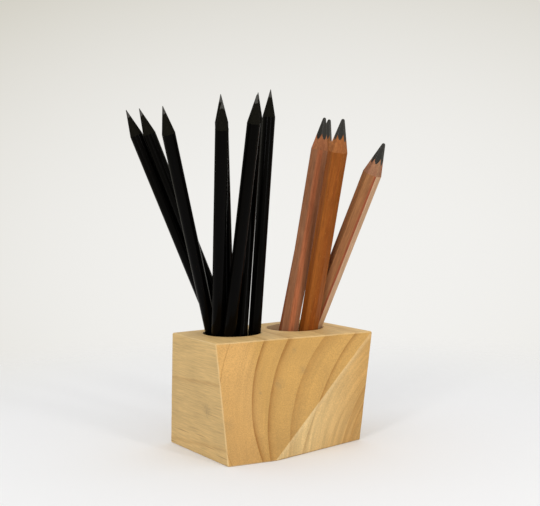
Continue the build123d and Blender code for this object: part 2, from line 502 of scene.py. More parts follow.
    def _ring_distance(self) -> Socket:
        """Measures how far out a point lies across rings that the wind has pushed to one side.

        Returns:
            The radius of the shifted circle through the point.
        """
        shift = Vector((self.pith_shift[0], 0, self.pith_shift[1]))
        rest = 1 - shift.length_squared
        pith = (self.pith[0], 0, self.pith[1])
        out = self.add("VectorMath", (self.section, pith), operation="SUBTRACT")
        lean = self.add("VectorMath", (out, shift), "Value", operation="DOT_PRODUCT")
        square = self.add("VectorMath", (out, out), "Value", operation="DOT_PRODUCT")
        leaned = self.add("Math", (lean, lean), operation="MULTIPLY")
        total = self.add("Math", (square, rest, leaned), operation="MULTIPLY_ADD")
        root = self.add("Math", (total,), operation="SQRT")
        gap = self.add("Math", (root, lean), operation="SUBTRACT")
        return self.add("Math", (gap, rest), operation="DIVIDE")

    def _early_wood(self) -> Socket:
        """Colours the wood between the lines: warmer on end grain, with clouds and streaks, and painted
        shade on end grain towards the base.

        Returns:
            The colour.
        """
        along = self.add("SeparateXYZ", (self.section,), "X")
        inner = self.add("MapRange", (along, *self.inner_years))
        across = self.add("Mix", {0: inner, 6: self.end_grain, 7: self.inner_end_grain}, 2, data_type="RGBA")
        share = self.add("MapRange", (along, *self.cut_run))
        cut = self.add("Mix", {0: share, 6: self.fresh_cut, 7: self.inner_fresh_cut}, 2, data_type="RGBA")
        colour = self.add("Mix", {0: self.end, 6: self.early_wood, 7: across}, 2, data_type="RGBA")
        colour = self.add("Mix", {0: self.fresh, 6: colour, 7: cut}, 2, data_type="RGBA")
        split = self.add("SeparateXYZ", (self.place,)).node.outputs
        out = self._ring_distance()
        ring_place = self.add("CombineXYZ", (out, split["Y"], split["Z"]))
        streaks = self.grain(ring_place, self.streak_size, 4.0, 0.62)
        gain = self.add("MapRange", (self.fresh, 0.0, 1.0, *self.streak_gain))
        centred = self.add("Math", (streaks, 0.5), operation="SUBTRACT")
        streak = self.add("Math", (centred, gain, 1.0), operation="MULTIPLY_ADD")
        clouds = self.grain(self.place, (self.cloud_size,) * 3, 3.0, 0.55)
        cloud = self.add("MapRange", (clouds, *self.cloud_shade))
        # Painted shade: end grain darkens towards the base.
        low = self.add("MapRange", (split["Z"], *self.painted_low_shade))
        low = self.add("Math", (low, self.end), operation="MULTIPLY")
        cloud = self.add("Math", (cloud, low), operation="SUBTRACT")
        shade = self.add("Math", (streak, cloud), operation="MULTIPLY")
        return self.add("VectorMath", (colour, shade), operation="MULTIPLY")

    def _ridge_polish_and_highlight(self) -> Socket:
        """Finds the strip of the undercut facet beside its ridge, which sanding has polished and where a
        highlight is painted.

        Returns:
            How polished and highlit it is.
        """
        normal, ridge = self.first_facet[0], self.first_facet[1] / MM
        height = self.add("VectorMath", (self.place, normal), "Value", operation="DOT_PRODUCT")
        strip = [ridge + below for below in self.ridge_strip]
        span = (height, *strip, 0.0, self.ridge_highlight_paleness)
        near = self.add("MapRange", span, interpolation_type="SMOOTHSTEP")
        return self.add("Math", (near, self.fresh), operation="MULTIPLY")

    def _vessels(self) -> Socket:
        """Draws the vessels: brown dashes along the plank, hardly seen where it is cut across.

        Returns:
            How much of the vessels' colour there is.
        """
        scaled = self.add("VectorMath", (self.place, self.vessel_size), operation="DIVIDE")
        inputs = {"Vector": scaled, "Scale": 1.0}
        cells = self.add("TexVoronoi", inputs, "Distance", feature="F1")
        dash = self.add("MapRange", (cells, *self.vessel_edge))
        chance = self.add("SeparateXYZ", (cells.node.outputs["Color"],))
        kept = self.add("MapRange", (chance, *self.vessel_chance))
        seen = self.add("MapRange", (self.end, 0.0, 1.0, 1.0, self.vessels_across))
        return self.fold("MULTIPLY", [dash, kept, seen])

    def _bored(self, colour: Socket) -> Socket:
        """Colours the bores' walls and floors with torn fibres, drawn out level by the bit, far paler than
        the wood as painted light inside the bores.

        Args:
            colour: The colour so far.

        Returns:
            The colour, changed inside the bores.
        """
        level = self.add("VectorMath", (self.place, (1, 1, 0)), operation="MULTIPLY")
        edge = [self.block.bore_radius + beyond for beyond in self.bore_edge]
        holes = []
        for centre in self.block.bore_centres:
            out = self.add("VectorMath", (level, (*centre, 0)), "Value", operation="DISTANCE")
            holes.append(self.add("MapRange", (out, *edge, 1.0, 0.0)))
        torn = self.grain(self.place, self.torn_size, 4.0, 0.7)
        smooth = self.add("MapRange", (torn, *self.torn_share))
        # Painted light: these pale wall colours stand in for light inside the bores.
        wall = self.add("Mix", {0: smooth, 6: self.painted_light_torn_bore_wall, 7: self.painted_light_bore_wall}, 2, data_type="RGBA")
        inside = self.fold("MAXIMUM", holes)
        return self.add("Mix", {0: inside, 6: colour, 7: wall}, 2, data_type="RGBA")

    def _smudges(self) -> Socket:
        """Draws the grey marks of fingers and graphite.

        Returns:
            How much grey there is.
        """
        ragged = self.grain(self.place, (self.smudge_grain,) * 3, 4.0, 0.7)
        edge = self.add("MapRange", (ragged, *self.smudge_edge))
        spots = []
        for smudge in self.block.smudges:
            out = self.add("VectorMath", (self.place, smudge.place), "Value", operation="DISTANCE")
            span = (out, 0.0, smudge.radius, smudge.strength, 0.0)
            spots.append(self.add("MapRange", span, interpolation_type="SMOOTHSTEP"))
        most = self.fold("MAXIMUM", spots)
        return self.add("Math", (most, edge), operation="MULTIPLY")


@dataclass
class BlackLacquer(Finish):
    """Thin black cellulose lacquer over dyed lime wood, drawn through a die and left unpolished.

    To the eye that is a deep black with a low satin sheen: a lamp shows in it as one soft
    narrow line along the barrel, and the pale room hardly at all.
    """

    name: str = "black_lacquer"
    colour: str = "#010101"
    dusty: str = "#050403"
    roughness: float = 0.21
    spread: Pair = (-0.03, 0.05)
    bumps: Pair = (0.15, 0.02)
    ior: float = 1.42
    sheen: float = 0.06
    mark_size: Point = (0.6, 0.6, 30.0)

    def dress(self) -> None:
        """Fills the material with fine marks along the barrel."""
        drawn = self.grain(self.place, self.mark_size)
        colour = self.add("Mix", {0: drawn, 6: self.colour, 7: self.dusty}, 2, data_type="RGBA")
        self.surface(colour, drawn)


@dataclass
class DyedLimeWood(Finish):
    """Lime wood dyed black right through, cut by a sharpener's blade.

    To the eye that is a flat greenish black without gloss, with fine turning marks.
    """

    name: str = "dyed_lime_wood"
    colour: str = "#070603"
    pale_fibre: str = "#1A1810"
    roughness: float = 0.75
    bumps: Pair = (0.4, 0.05)
    ior: float = 1.45
    sheen: float = 0.07
    fibre_size: Point = (0.25, 0.25, 3.0)
    pale_share: Pair = (0.35, 0.75)

    def dress(self) -> None:
        """Fills the material with pale fibres."""
        fibres = self.grain(self.place, self.fibre_size, 4.0, 0.65)
        share = self.add("MapRange", (fibres, *self.pale_share))
        colour = self.add("Mix", {0: share, 6: self.colour, 7: self.pale_fibre}, 2, data_type="RGBA")
        self.surface(colour, fibres)


@dataclass
class IncenseCedar(Finish):
    """Incense cedar, planed and rubbed with a little oil, or cut fresh by a blade.

    To the eye that is a red-brown wood with close straight fibres, redder streaks of
    heartwood along the barrel and a low sheen.

    Attributes:
        name: What the material is called.
        wood: The wood's own colour.
        heart: The redder streaks.
        fleck: The short marks of torn fibres.
        roughness: The surface's roughness.
        sheen: How strongly the surface reflects.
        seed: Where in the tree the slat was cut.
        stripe_bearing: Where one broad streak lies round the pencil, in degrees: a red line of wood on one
            pencil, and a painted highlight along a corner on another.
        stripe_width: How wide that streak is, or 0 for none.
        stripe: Its colour.
        stripe_reach: How far from the pencil's axis the streak's middle lies.
        stripe_core: Which share of its width has its full strength.
    """

    name: str
    wood: str
    heart: str
    fleck: str
    roughness: float = 0.45
    spread: Pair = (-0.08, 0.12)
    bumps: Pair = (0.35, 0.06)
    ior: float = 1.47
    sheen: float = 0.1
    seed: float = 0.0
    stripe_bearing: float = 0.0
    stripe_width: float = 0.0
    stripe: str = "#B0744F"
    stripe_reach: float = 5.2
    streak_size: Point = (2.6, 2.6, 120.0)
    fibre_size: Point = (0.5, 0.5, 9.0)
    fleck_size: Point = (0.35, 0.35, 1.6)
    heart_share: Pair = (0.34, 0.74)
    fibre_shade: Span = (0.3, 0.7, 0.66, 1.26)
    fleck_share: Span = (0.64, 0.76, 0.0, 0.6)
    stripe_core: float = 0.4
    stripe_strength: float = 0.8

    def dress(self) -> None:
        """Fills the material with streaks, fibres and flecks."""
        place = self.add("VectorMath", (self.place, (self.seed,) * 3), operation="ADD")
        streaks = self.grain(place, self.streak_size, 2.0)
        fibres = self.grain(place, self.fibre_size, 4.0, 0.7)
        red = self.add("MapRange", (streaks, *self.heart_share))
        colour = self.add("Mix", {0: red, 6: self.wood, 7: self.heart}, 2, data_type="RGBA")
        if self.stripe_width:
            colour = self._striped(colour)
        shade = self.add("MapRange", (fibres, *self.fibre_shade))
        colour = self.add("VectorMath", (colour, shade), operation="MULTIPLY")
        flecks = self.grain(place, self.fleck_size, 2.0, 0.5)
        flecks = self.add("MapRange", (flecks, *self.fleck_share))
        colour = self.add("Mix", {0: flecks, 6: colour, 7: self.fleck}, 2, data_type="RGBA")
        self.surface(colour, fibres)

    def _striped(self, colour: Socket) -> Socket:
        """Lays the broad streak over the wood, which on one pencil is a painted highlight along a corner.

        Args:
            colour: The colour so far.

        Returns:
            The colour with the streak.
        """
        middle = towards(self.stripe_bearing) * self.stripe_reach
        level = self.add("VectorMath", (self.place, (1, 1, 0)), operation="MULTIPLY")
        out = self.add("VectorMath", (level, middle), "Value", operation="DISTANCE")
        core = self.stripe_core * self.stripe_width
        span = (out, core, self.stripe_width, self.stripe_strength, 0.0)
        near = self.add("MapRange", span, interpolation_type="SMOOTHSTEP")
        return self.add("Mix", {0: near, 6: colour, 7: self.stripe}, 2, data_type="RGBA")


@dataclass
class SharpenedGraphite(Finish):
    """Graphite and clay, fired, and shaved by a blade.

    To the eye that is a dark grey with a soft metallic sheen on the shaved side and fine
    marks round the point.
    """

    name: str
    colour: str
    shaved: str
    metallic: float = 0.1
    roughness: float = 0.33
    spread: Pair = (-0.1, 0.1)
    bumps: Pair = (0.3, 0.04)
    ior: float = 1.56
    mark_size: Point = (1.6, 1.6, 0.3)

    def dress(self) -> None:
        """Fills the material with fine marks round the point."""
        marks = self.grain(self.place, self.mark_size)
        colour = self.add("Mix", {0: marks, 6: self.colour, 7: self.shaved}, 2, data_type="RGBA")
        self.surface(colour, marks)


def axes_at(across: Vector, along: Vector, up: Vector, place: Vector) -> Matrix:
    """Makes the transform with these three axes and its origin at this place, in metres."""
    return Matrix.Translation(place) @ Matrix((across, along, up)).transposed().to_4x4()


def towards(bearing: float, height: float = 0.0) -> Vector:
    """Gives the point one unit out from the axis at a bearing in degrees and at a height."""
    turn = math.radians(bearing)
    return Vector((math.cos(turn), math.sin(turn), height))


def from_flat(bearing: float) -> float:
    """Gives how many degrees a bearing lies from the middle of the nearest of six flats."""
    return abs((bearing + CORNER_TURN) % FLAT_TURN - CORNER_TURN)


def stand_up(profile: list[Pair], around: Vector, centre: Pair = (0.0, 0.0)) -> list[Vector]:
    """Stands a profile of radii and heights up beside an axis, in metres."""
    return [(around * out + Vector((*centre, height))) * MM for out, height in profile]


@dataclass
class WoodBlock:
    """The drilled block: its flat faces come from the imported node, its wear from here.

    Attributes:
        edge_step: How far apart the points along an edge are.
        deepest_wear: The scale of the edges' wear.
        rim_radius: How round a mouth's rim is.
        rim_wear: How far that varies round the mouth.
        rim_ripple: How quickly it does.
        slow_wear_size: How large the broad patches of wear are.
        quick_wear_size: How large the fine ones are.
        wear_shares: How much of the wear is steady, broad and fine.
        pale_patch_size: How large the paler patches on the edges are.
        pale_shares: How much of the paleness is steady and how much is in patches.
        edge_paleness: How pale an edge gets at most.
        paler_turn: How fast an edge gets paler with its sharpness.
        front_turn: How far a face's normal has to point to the front to count as a front facet.
        sharp_angle: From which angle on an edge is shaded as sharp, in degrees.
    """

    node: str = "block"
    bore_centres: tuple[Pair, ...] = ((-19.2, 9.1), (21.0, 5.0))
    bore_radius: float = 16.5
    bore_floor: float = 29.0
    drill_mark_radius: float = 1.5
    drill_mark_depth: float = 1.2
    top: float = 65.0
    edge_radius: float = 0.8
    edge_segments: int = 6
    edge_step: float = 2.0
    deepest_wear: float = 0.22
    rim_radius: float = 0.4
    rim_wear: float = 0.18
    bore_sides: int = 128
    rim_steps: int = 4
    rim_ripple: float = 2.5
    slow_wear_size: float = 9.0
    quick_wear_size: float = 2.5
    pale_patch_size: float = 6.0
    wear_shares: Point = (0.45, 0.6, 0.25)
    pale_shares: Pair = (0.55, 0.45)
    edge_paleness: float = 0.75
    paler_turn: float = 3.0
    front_turn: float = -0.3
    sharp_angle: float = 32.0
    smudges: tuple[Smudge, ...] = (
        Smudge((-14.5, -29.6, 25.4), 2.4, 0.75),
        Smudge((-6.4, -31.6, 21.2), 2.0, 0.65),
        Smudge((-12.4, -29.0, 41.0), 5.0, 0.45),
        Smudge((2.5, -30.5, 47.0), 3.6, 0.50),
        Smudge((-2.0, -29.0, 58.0), 2.4, 0.50),
        Smudge((-24.0, -27.8, 37.0), 1.6, 0.65),
        Smudge((-44.0, -27.0, 22.0), 5.5, 0.35),
        Smudge((-46.6, -9.0, 27.0), 7.0, 0.55),
    )

    def outer_planes(self, mesh: bpy.types.Mesh) -> list[Plane]:
        """Finds the block's flat outer faces.

        Args:
            mesh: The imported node's mesh.

        Returns:
            Each face's outward normal and its distance from the origin, in metres.
        """
        least_area = 300 * MM**2
        least_piece = 3 * MM**2
        same_way, same_distance, outermost = 0.99999, 0.02 * MM, 0.1 * MM
        planes: list[list] = []
        for polygon in mesh.polygons:
            if polygon.area < least_piece:
                continue
            out = polygon.normal.dot(polygon.center)
            for plane in planes:
                parallel = plane[0].dot(polygon.normal) > same_way
                if parallel and abs(plane[1] - out) < same_distance:
                    plane[2] += polygon.area
                    break
            else:
                planes.append([polygon.normal.copy(), out, polygon.area])
        found = []
        for normal, out, area in planes:
            furthest = max(normal.dot(vertex.co) for vertex in mesh.vertices)
            if area > least_area and furthest - out < outermost:
                found.append((normal, out))
        return found

    def sharp_corners(self, planes: list[Plane]) -> list[Vector]:
        """Finds the corners that the block would have with sharp edges.

        Args:
            planes: The outer faces.

        Returns:
            The corners, in metres.
        """
        corners = []
        least_determinant, close = 1e-4, 0.01 * MM
        for three in itertools.combinations(planes, 3):
            rows = Matrix([plane[0] for plane in three])
            if abs(rows.determinant()) < least_determinant:
                continue
            corner = rows.inverted() @ Vector([plane[1] for plane in three])
            if all(normal.dot(corner) - out < close for normal, out in planes):
                corners.append(corner)
        return corners

    def body_mesh(self, planes: list[Plane]) -> bpy.types.Mesh:
        """Makes the block before drilling, with its edges rounded and worn.

        Args:
            planes: The outer faces.

        Returns:
            The mesh.
        """
        model = bmesh.new()
        for corner in self.sharp_corners(planes):
            model.verts.new(corner)
        bmesh.ops.remove_doubles(model, verts=model.verts, dist=0.01 * MM)
        bmesh.ops.convex_hull(model, input=model.verts)
        flat = math.radians(1)
        bmesh.ops.dissolve_limit(model, angle_limit=flat, verts=model.verts, edges=model.edges)
        for edge in list(model.edges):
            cuts = round(edge.calc_length() / (self.edge_step * MM)) - 1
            if cuts > 0:
                bmesh.ops.bisect_edges(model, edges=[edge], cuts=cuts)
        bmesh.ops.bevel(
            model,
            geom=list(model.edges),
            offset=self.edge_radius * MM,
            offset_type="OFFSET",
            segments=self.edge_segments,
            profile=0.5,
            affect="EDGES",
            clamp_overlap=False,
        )
        for vertex in model.verts:
            vertex.co += self.wear_at(vertex.co, planes)
        bmesh.ops.recalc_face_normals(model, faces=model.faces)
        mesh = bpy.data.meshes.new("wood_block")
        model.to_mesh(mesh)
        model.free()
        return mesh

    def edge_share(self, point: Vector, planes: list[Plane]) -> tuple[float, Vector]:
        """Says how near a point is to the middle of a rounded edge.

        Args:
            point: A point of the surface, in metres.
            planes: The outer faces.

        Returns:
            0 on a flat face and 1 in the middle of an edge, and the way out of the block there.
        """
        depths = [(out - normal.dot(point)) / MM for normal, out in planes]
        nearest = sorted(zip(depths, range(len(planes))))
        (first, one), (second, two) = nearest[:2]
        share = max(0.0, 1 - (second - first) / self.edge_radius)
        outward = (planes[one][0] + planes[two][0]).normalized()
        return share if second < 2 * self.edge_radius else 0.0, outward

    def wear_at(self, point: Vector, planes: list[Plane]) -> Vector:
        """Says how far handling has worn the block at a point.

        Args:
            point: A point of the unworn surface, in metres.
            planes: The outer faces.

        Returns:
            The move to make, in metres.
        """
        share, outward = self.edge_share(point, planes)
        slow = noise.noise(point / (self.slow_wear_size * MM))
        quick = noise.noise(point / (self.quick_wear_size * MM))
        steady, broad, fine = self.wear_shares
        depth = self.deepest_wear * max(0.0, steady + broad * slow + fine * quick)
        return outward * (-depth * share * MM)

    def bore_cutter(self, centre: Pair) -> bpy.types.Object:
        """Makes the solid that a bore takes away, with a softly worn rim at its mouth.

        Args:
            centre: The bore's axis.

        Returns:
            The cutter.
        """
        columns = []
        above, flare = 5.0, 0.02
        for side in range(self.bore_sides):
            bearing = 2 * math.pi * side / self.bore_sides
            around = Vector((math.cos(bearing), math.sin(bearing), 0))
            ripple = noise.noise(around * self.rim_ripple + Vector((centre[0], 0, 0)))
            rim = self.rim_radius + self.rim_wear * ripple
            profile = [(0.0, self.bore_floor - self.drill_mark_depth)]
            profile.append((self.drill_mark_radius, self.bore_floor))
            profile.append((self.bore_radius, self.bore_floor))
            for step in range(self.rim_steps + 1):
                turn = math.pi / 2 * step / self.rim_steps
                out = self.bore_radius + rim * (1 - math.cos(turn))
                profile.append((out, self.top - rim * (1 - math.sin(turn))))
            profile.append((self.bore_radius + rim + flare, self.top + above))
            profile.append((0.0, self.top + above))
            columns.append(stand_up(profile, around, centre))
        return link_object("bore_cutter", sweep_mesh("bore_cutter", columns, closed=True))

    def build(self) -> bpy.types.Object:
        """Makes the drilled block and dresses it.

        Returns:
            The piece.
        """
        planes = self.outer_planes(frame["nodes"][self.node].data)
        body = link_object("block_blank", self.body_mesh(planes))
        cutters = [self.bore_cutter(centre) for centre in self.bore_centres]
        for cutter in cutters:
            boring = body.modifiers.new("bore", "BOOLEAN")
            boring.operation = "DIFFERENCE"
            boring.solver = "EXACT"
            boring.object = cutter
        mesh = applied(body)
        for scrap in (body, *cutters):
            bpy.data.objects.remove(scrap)
        mesh.shade_smooth()
        mesh.set_sharp_from_angle(angle=math.radians(self.sharp_angle))
        piece = new_piece("wood_block", mesh, Matrix.Identity(4), "holder", [self.node])
        weighting = piece.modifiers.new("flat_faces", "WEIGHTED_NORMAL")
        weighting.keep_sharp = True
        weighting.weight = 100
        # Partly wear, partly painted highlight: the rounded edges are made paler, most where they turn most
        # sharply.
        wear = mesh.attributes.new("edge_wear_and_highlight", "FLOAT", "POINT")
        steady, uneven = self.pale_shares
        for vertex in mesh.vertices:
            share, outward = self.edge_share(vertex.co, planes)
            turn = 1 - max(normal.dot(outward) for normal, _ in planes) ** 2
            patch = steady + uneven * noise.noise(vertex.co / (self.pale_patch_size * MM))
            sharp = min(1.0, self.paler_turn * turn)
            wear.data[vertex.index].value = self.edge_paleness * share * patch * sharp
        facing_front = [plane for plane in planes if plane[0].y < self.front_turn]
        first, second = sorted(facing_front, key=lambda plane: plane[0].x)
        mesh.materials.clear()
        mesh.materials.append(SandedPaulownia(self, first, second).build())
        return piece


def applied(piece: bpy.types.Object) -> bpy.types.Mesh:
    """Gives an object's mesh with its modifiers applied.

    Args:
        piece: The object.

    Returns:
        The new mesh.
    """
    bpy.context.view_layer.update()
    graph = bpy.context.evaluated_depsgraph_get()
    return bpy.data.meshes.new_from_object(piece.evaluated_get(graph))


def sweep_mesh(name: str, columns: list[list[Vector]], closed: bool) -> bpy.types.Mesh:
    """Skins a row of profiles that stand round an axis.

    Args:
        name: The mesh's name.
        columns: The profiles, each with as many points, from one bearing to the next.
        closed: Whether the last profile joins the first. If not, both get a flat cap.

    Returns:
        A closed mesh. Each face holds its row along the profile in the attribute row.
    """
    model = bmesh.new()
    row_layer = model.faces.layers.int.new("row")
    points = [[model.verts.new(point) for point in column] for column in columns]
    count = len(columns[0])
    pairs = list(zip(points, points[1:]))
    if closed:
        pairs.append((points[-1], points[0]))
    rows = count - 1 if closed else count
    for here, there in pairs:
        for row in range(rows):
            after = (row + 1) % count
            face = model.faces.new((here[row], there[row], there[after], here[after]))
            face[row_layer] = row
    if not closed:
        for cap in (points[0], points[-1]):
            model.faces.new(cap)[row_layer] = -1
    same, shortest = 0.0005 * MM, 0.0002 * MM
    bmesh.ops.remove_doubles(model, verts=model.verts, dist=same)
    bmesh.ops.dissolve_degenerate(model, edges=model.edges, dist=shortest)
    bmesh.ops.recalc_face_normals(model, faces=model.faces)
    mesh = bpy.data.meshes.new(name)
    model.to_mesh(mesh)
    model.free()
    return mesh


class Piece(Enum):
    """The three solids of a pencil and the words that its pieces are called by."""

    LEFT = "left_slat"
    RIGHT = "right_slat"
    LEAD = "lead"


@dataclass
class Pencil:
    """A pencil in its own frame: its foot's middle at the origin and its point up.

    Attributes:
        name: The body's name.
        number: Its number among its kind, which varies its small unevenness.
        sides: 6 for a pencil with flats and 0 for a round one.
        half: Half the width across flats, or the radius.
        cone: How long the sharpened part is.
        lead_radius: The lead's radius.
        tip_half: Half the width of the blunt tip.
        end_radius: How round the foot's edge is.
        corner_radius: How round the corners between the flats are.
        lacquer: How thick the lacquer is.
        lobe: How far the lead's edge dips on each flat, as a share of its radius.
        right_middle: The bearing of the right slat's middle, in degrees.
        shoulder_wave: How far the sharpening's edge strays.
        lead_wave: How far the lead's edge strays and how often.
        below_shoulder: How far below the sharpening's edge the barrel's last three rows lie.
        lip_wear: How far the last two are worn down.
        lead_depths: The groove's rows below the lead's edge. At the last it is quite round.
        barrel_rows: How many rows the barrel has.
        cone_rows: How many the sharpened wood has.
        point_rows: How many the bare lead has.
        tip_steps: How many steps round the tip.
    """

    name: str
    number: int
    sides: int
    half: float
    cone: float
    lead_radius: float
    tip_half: float
    end_radius: float
    corner_radius: float = 0.0
    lacquer: float = 0.0
    lobe: float = 0.0
    right_middle: float = 120.0
    shoulder_wave: float = 0.2
    lead_wave: Pair = (0.8, 1.6)
    below_shoulder: Point = (0.3, 0.12, 0.03)
    lip_wear: float = 0.012
    lead_depths: Point = (1.0, 2.0, 4.0)
    barrel_rows: int = 34
    cone_rows: int = 14
    point_rows: int = 8
    tip_steps: int = 4

    def locate(self) -> None:
        """Reads the pencil's place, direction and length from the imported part."""
        joint = next(j for j in frame["joints"] if j["child"] == self.name)
        self.axis = Vector(joint["axis"]).normalized()
        lead = frame["nodes"][f"{self.name}_lead"].data
        heights = [vertex.co.dot(self.axis) for vertex in lead.vertices]
        lowest, level = min(heights), 0.01 * MM
        foot = [v.co for v, height in zip(lead.vertices, heights) if height < lowest + level]
        self.length = (max(heights) - lowest) / MM
        right = frame["nodes"][f"{self.name}_right_slat"].data
        middle = sum((vertex.co for vertex in right.vertices), Vector()) / len(right.vertices)
        across = self.axis.orthogonal().normalized()
        sideways = self.axis.cross(across)
        centre = self.axis * lowest
        for way in (across, sideways):
            spread = [point.dot(way) for point in foot]
            centre += way * ((max(spread) + min(spread)) / 2)
        to_right = middle - centre
        to_right = (to_right - self.axis * to_right.dot(self.axis)).normalized()
        back = math.radians(-self.right_middle)
        turned = Matrix.Rotation(back, 3, self.axis) @ to_right
        self.place = axes_at(turned, self.axis.cross(turned), self.axis, centre)

    def around(self, bearing: float, flat_half: float) -> float:
        """Gives how far the section reaches at a bearing.

        Args:
            bearing: The bearing in degrees from the middle of a flat.
            flat_half: Half the section's width there.

        Returns:
            The radius.
        """
        if not self.sides:
            return flat_half
        off = from_flat(bearing)
        corner = min(self.corner_radius, 0.5 * flat_half)
        reach = (flat_half - corner) / math.cos(math.radians(CORNER_TURN))
        tangent = math.degrees(math.atan2(reach * 0.5, flat_half))
        if off <= tangent:
            return flat_half / math.cos(math.radians(off))
        turn = math.radians(CORNER_TURN - off)
        return reach * math.cos(turn) + math.sqrt(max(corner**2 - (reach * math.sin(turn)) ** 2, 0))

    def bearings(self, start: float, end: float) -> list[float]:
        """Lists the bearings of the mesh's columns, close together at the corners.

        Args:
            start: The first bearing in degrees.
            end: The last one.

        Returns:
            The bearings.
        """
        if not self.sides:
            step_turn = 6
            steps = round((end - start) / step_turn)
            return [start + (end - start) * step / steps for step in range(steps + 1)]
        offsets = (-30, -28.6, -27, -25, -18, -9, 0, 9, 18, 25, 27, 28.6)
        found = []
        for flat in range(math.floor(start / FLAT_TURN) - 1, math.ceil(end / FLAT_TURN) + 2):
            found.extend(FLAT_TURN * flat + offset for offset in offsets)
        slack = 0.01
        return [bearing for bearing in found if start - slack <= bearing <= end + slack]

    def shoulder(self, bearing: float) -> float:
        """Gives the height where the sharpened part starts, at a bearing in degrees."""
        around = towards(bearing, 0.37 * self.number)
        return self.length - self.cone + self.shoulder_wave * noise.noise(around * 2.2)

    def cone_half(self, height: float) -> float:
        """Gives half the width of the sharpened part at a height.

        Args:
            height: The height.

        Returns:
            Half the width across flats, or the radius.
        """
        start = self.length - self.cone
        share = min(max((height - start) / self.cone, 0.0), 1.0)
        return (self.half - self.lacquer) * (1 - share) + self.tip_half * share

    def lead_line(self, bearing: float) -> float:
        """Gives the height where the wood ends and the lead comes out.

        Args:
            bearing: The bearing in degrees.

        Returns:
            The height.
        """
        off = math.radians(from_flat(bearing)) if self.sides else 0.0
        corner = math.cos(math.radians(CORNER_TURN))
        middle = (math.cos(off) - corner) / (1 - corner)
        flat_half = self.lead_radius * (1 + self.lobe * (2 * middle - 1))
        base = self.half - self.lacquer
        height = self.length - self.cone + self.cone * (base - flat_half) / (base - self.tip_half)
        around = towards(bearing, 0.61 * self.number)
        reach, pace = self.lead_wave
        return height + reach * noise.noise(around * pace)

    def lead_side(self, bearing: float, height: float) -> float:
        """Gives the radius of the lead's side, which meets the sharpened face at its line.

        Args:
            bearing: The bearing in degrees.
            height: The height.

        Returns:
            The radius.
        """
        line = self.lead_line(bearing)
        at_line = self.around(bearing, self.cone_half(line))
        reach = self.lead_depths[-1]
        share = min(max((height - line + reach) / reach, 0.0), 1.0)
        return self.lead_radius * (1 - share) + at_line * share

    def barrel_profile(self, bearing: float) -> list[Pair]:
        """Lists the barrel's outside from the foot to where the sharpening starts.

        Args:
            bearing: The bearing in degrees.

        Returns:
            Radius and height of each point.
        """
        start = self.shoulder(bearing)
        last, upper, lip = self.below_shoulder
        edge = self.around(bearing, self.half)
        points = []
        for step in range(3):
            turn = math.pi / 2 * step / 2
            inset = self.end_radius * (1 - math.sin(turn))
            rise = self.end_radius * (1 - math.cos(turn))
            points.append((self.around(bearing, self.half - inset), rise))
        for row in range(1, self.barrel_rows + 1):
            height = self.end_radius + (start - last - self.end_radius) * row / self.barrel_rows
            points.append((edge - self.unevenness(bearing, height), height))
        points.append((edge - self.lip_wear, start - upper))
        points.append((edge - 0.5 * self.lacquer - self.lip_wear, start - lip))
        return points

    def unevenness(self, bearing: float, height: float) -> float:
        """Gives how far the barrel's surface lies inside its true shape.

        Args:
            bearing: The bearing in degrees.
            height: The height.

        Returns:
            The depth, from nothing to a few hundredths of a millimetre.
        """
        along = height / 22 + 7.3 * self.number
        depth = 0.018
        return depth * (1 + noise.noise(towards(bearing) * 1.5 + Vector((0, 0, along))))

    def cone_profile(self, bearing: float) -> list[Pair]:
        """Lists the sharpened wood from the shoulder to the lead.

        Args:
            bearing: The bearing in degrees.

        Returns:
            Radius and height of each point.
        """
        start = self.shoulder(bearing)
        line = self.lead_line(bearing)
        points = []
        for row in range(self.cone_rows + 1):
            height = start + (line - start) * row / self.cone_rows
            points.append((self.around(bearing, self.cone_half(height)), height))
        return points

    def slat_columns(self, start: float, end: float) -> list[list[Vector]]:
        """Lists one slat's profiles: up its outside, then down its groove.

        Args:
            start: The bearing of one glued edge in degrees.
            end: The bearing of the other.

        Returns:
            The profiles, in metres.
        """
        columns = []
        for bearing in self.bearings(start, end):
            profile = self.barrel_profile(bearing) + self.cone_profile(bearing)
            line = self.lead_line(bearing)
            for depth in self.lead_depths:
                profile.append((self.lead_side(bearing, line - depth), line - depth))
            profile.append((self.lead_radius, 0.0))
            columns.append(stand_up(profile, towards(bearing)))
        return columns

    def lead_columns(self) -> list[list[Vector]]:
        """Lists the lead's profiles from the middle of its foot to its point.

        Returns:
            The profiles, in metres.
        """
        columns = []
        for bearing in self.bearings(30, 390)[:-1]:
            line = self.lead_line(bearing)
            profile = [(0.0, 0.0), (self.lead_radius, 0.0)]
            for depth in reversed(self.lead_depths):
                profile.append((self.lead_side(bearing, line - depth), line - depth))
            rounding = 0.8 * self.tip_half
            top = self.length - rounding
            for row in range(self.point_rows + 1):
                height = line + (top - line) * row / self.point_rows
                profile.append((self.around(bearing, self.cone_half(height)), height))
            for step in range(1, self.tip_steps + 1):
                lean = math.pi / 2 * step / self.tip_steps
                out = self.around(bearing, self.tip_half) * math.cos(lean)
                profile.append((out, top + rounding * math.sin(lean)))
            profile[-1] = (0.0, self.length)
            columns.append(stand_up(profile, towards(bearing)))
        return columns

